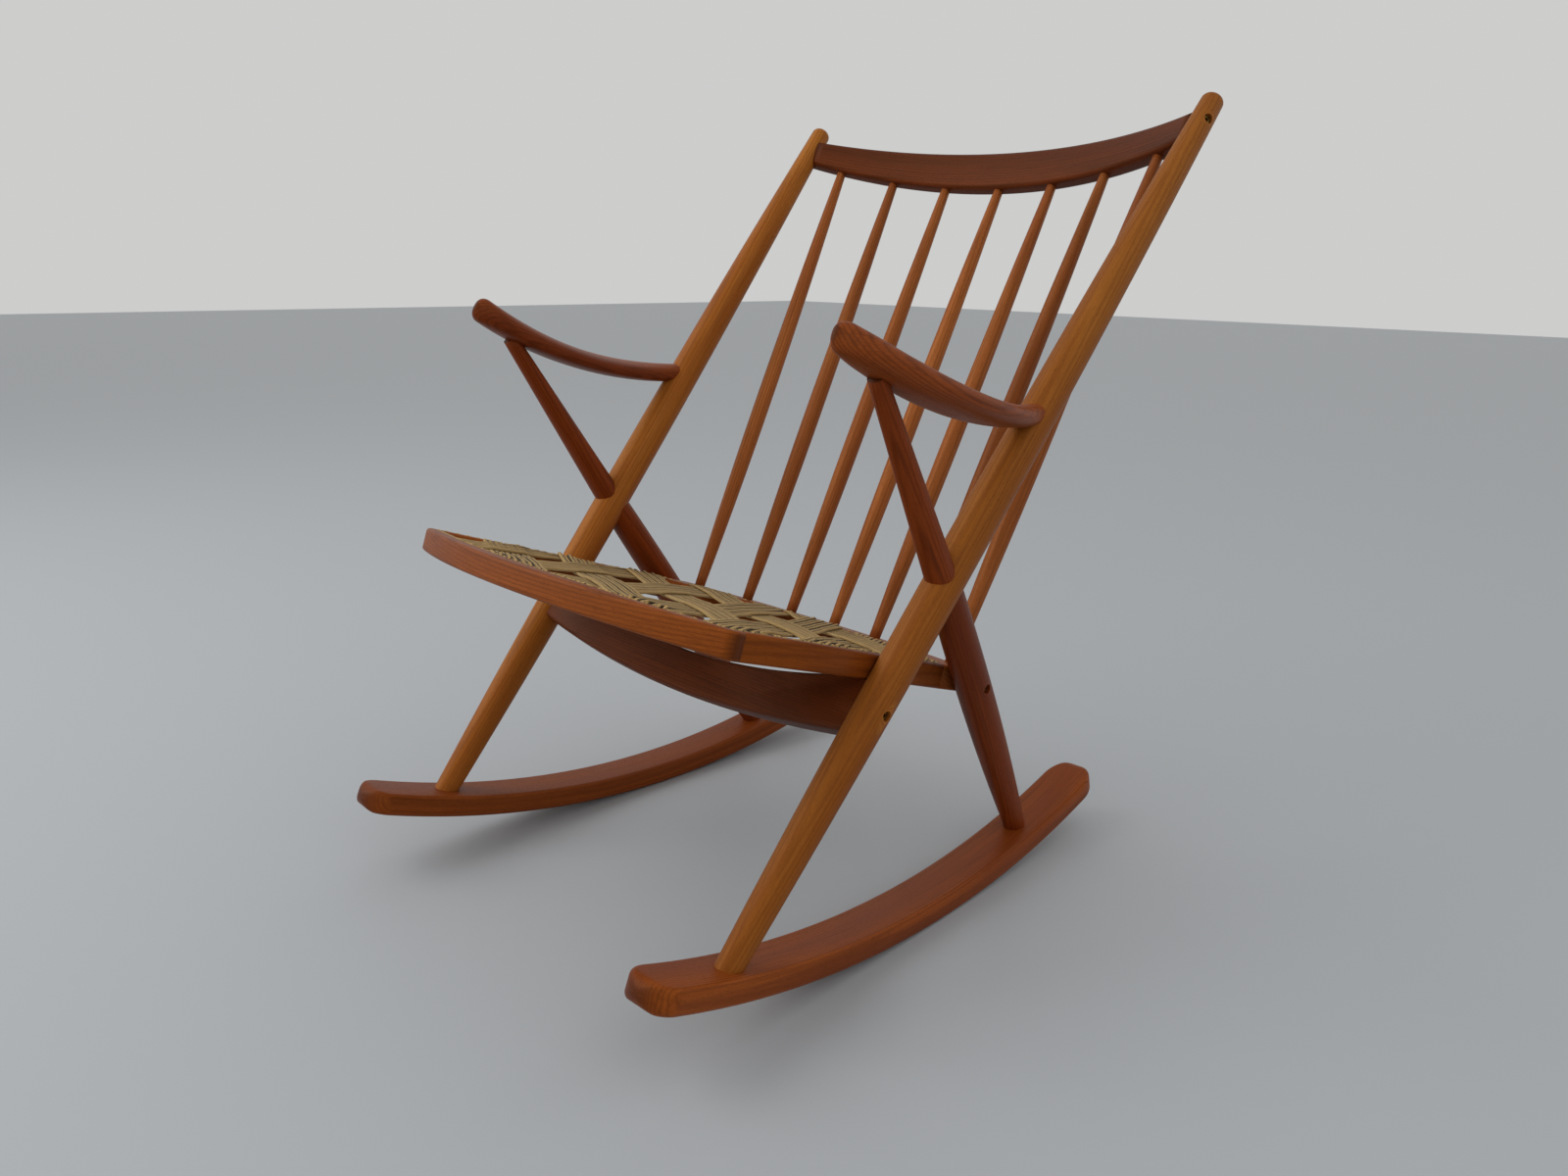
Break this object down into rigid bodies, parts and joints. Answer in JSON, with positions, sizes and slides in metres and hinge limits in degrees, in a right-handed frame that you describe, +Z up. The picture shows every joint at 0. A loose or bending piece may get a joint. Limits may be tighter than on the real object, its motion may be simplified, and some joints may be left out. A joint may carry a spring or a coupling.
{
  "type": "rocking chair",
  "caption": "Wooden spindle-back rocking chair with round raked posts, shaped armrests, a curved crest rail, bent rockers and an open woven cord seat.",
  "frame": {"origin": "on the floor, in the middle of the chair's width and length", "axes": "-Y is the way the sitter faces, +X the sitter's left, +Z up"},
  "size_m": [0.6814, 0.8681, 0.9053],
  "materials": {
    "teak_rocker": "oiled teak, satin",
    "teak_golden": "oiled teak, satin",
    "teak_dark": "oiled teak, satin",
    "teak_arm": "oiled teak, satin",
    "teak_crest": "oiled teak, satin",
    "teak_spindle": "oiled teak, satin",
    "teak_seat": "oiled teak, satin",
    "cord": "twisted paper cord, matt",
    "brass": "dull brass"
  },
  "bodies": {
    "root": {"rocker_left": "teak_rocker", "rocker_right": "teak_rocker", "front_post_left": "teak_golden", "front_post_right": "teak_golden", "arm_support_left": "teak_dark", "arm_support_right": "teak_dark", "back_leg_left": "teak_dark", "back_leg_right": "teak_dark", "armrest_left": "teak_arm", "armrest_right": "teak_arm", "crest_rail": "teak_crest", "spindle_1": "teak_spindle", "spindle_2": "teak_spindle", "spindle_3": "teak_spindle", "spindle_4": "teak_spindle", "spindle_5": "teak_spindle", "spindle_6": "teak_spindle", "spindle_7": "teak_spindle", "seat_front_rail": "teak_seat", "seat_back_rail": "teak_seat", "seat_side_rail_left": "teak_seat", "seat_side_rail_right": "teak_seat", "front_cross_rail": "teak_crest", "cord_seat": "cord", "crest_bolts": "brass", "cross_rail_bolts": "brass", "seat_bolts": "brass"}
  },
  "joints": []
}
